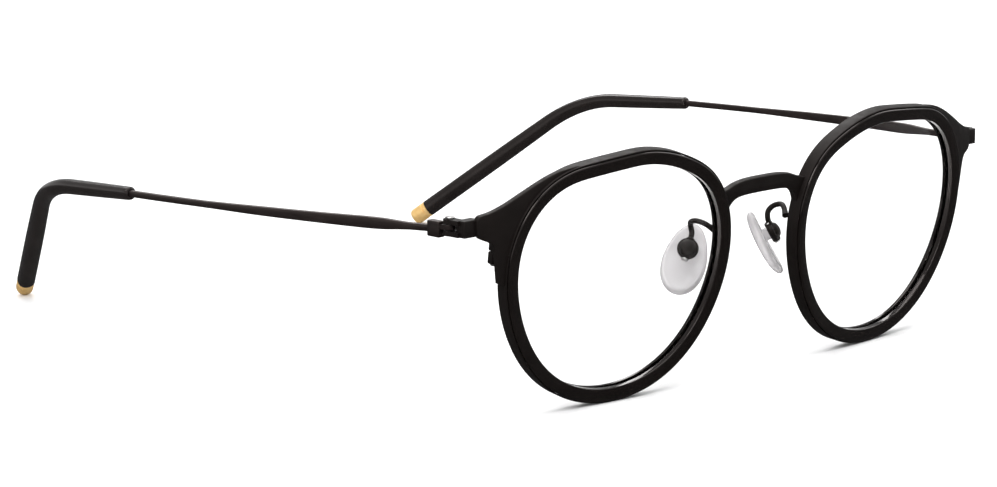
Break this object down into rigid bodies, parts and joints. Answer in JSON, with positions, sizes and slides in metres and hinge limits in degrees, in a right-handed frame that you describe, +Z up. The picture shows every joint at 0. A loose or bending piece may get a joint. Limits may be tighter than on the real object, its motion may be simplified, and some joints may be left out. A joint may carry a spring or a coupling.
{
  "type": "round eyeglasses",
  "caption": "Round eyeglasses with a slim metal front, glossy ring inserts, folding temples with plastic tips, and tilting nose pads on wire arms.",
  "frame": {"origin": "bottom centre of the box round the whole object, standing open on its rims and temple tips", "axes": "+X to the wearer's left, +Y to the back of the head, +Z up"},
  "size_m": [0.1494, 0.1506, 0.0451],
  "materials": {
    "front_metal": "matt black",
    "temple_metal": "dark brushed gunmetal",
    "ring": "polished black",
    "tips": "satin black",
    "tip_caps": "satin gold",
    "screws": "bright steel",
    "lens": "clear, coated",
    "pads": "clear, slightly milky"
  },
  "bodies": {
    "front": {"bridge": "front_metal", "left_rim_ring": "ring", "left_eyewire": "front_metal", "left_lens": "lens", "left_end_piece": "front_metal", "left_closing_block_upper": "front_metal", "left_closing_block_lower": "front_metal", "left_closing_screw": "screws", "left_pad_arm": "front_metal", "left_pad_box": "front_metal", "left_pad_screw": "screws", "left_hinge_screw": "screws", "right_rim_ring": "ring", "right_eyewire": "front_metal", "right_lens": "lens", "right_end_piece": "front_metal", "right_closing_block_upper": "front_metal", "right_closing_block_lower": "front_metal", "right_closing_screw": "screws", "right_pad_arm": "front_metal", "right_pad_box": "front_metal", "right_pad_screw": "screws", "right_hinge_screw": "screws"},
    "left_temple": {"left_temple_hinge": "temple_metal", "left_temple_blade": "temple_metal", "left_tip_sleeve": "tips", "left_tip_cap": "tip_caps"},
    "right_temple": {"right_temple_hinge": "temple_metal", "right_temple_blade": "temple_metal", "right_tip_sleeve": "tips", "right_tip_cap": "tip_caps"},
    "left_pad": {"left_nose_pad": "pads", "left_pad_boss": "pads"},
    "right_pad": {"right_nose_pad": "pads", "right_pad_boss": "pads"}
  },
  "joints": [
    {"name": "left_temple_fold", "type": "hinge", "parent": "front", "child": "left_temple", "pos_m": [0.0672, -0.06317, 0.03465], "axis": [0, 0, 1], "range_deg": [0, 87]},
    {"name": "right_temple_fold", "type": "hinge", "parent": "front", "child": "right_temple", "pos_m": [-0.0672, -0.06317, 0.03465], "axis": [0, 0, -1], "range_deg": [0, 73]},
    {"name": "left_pad_tilt", "type": "hinge", "parent": "front", "child": "left_pad", "pos_m": [0.01138, -0.06564, 0.02351], "axis": [0.5167, -0.1209, -0.8476], "range_deg": [-12, 12]},
    {"name": "right_pad_tilt", "type": "hinge", "parent": "front", "child": "right_pad", "pos_m": [-0.01138, -0.06564, 0.02351], "axis": [-0.5167, -0.1209, -0.8476], "range_deg": [-12, 12]}
  ]
}
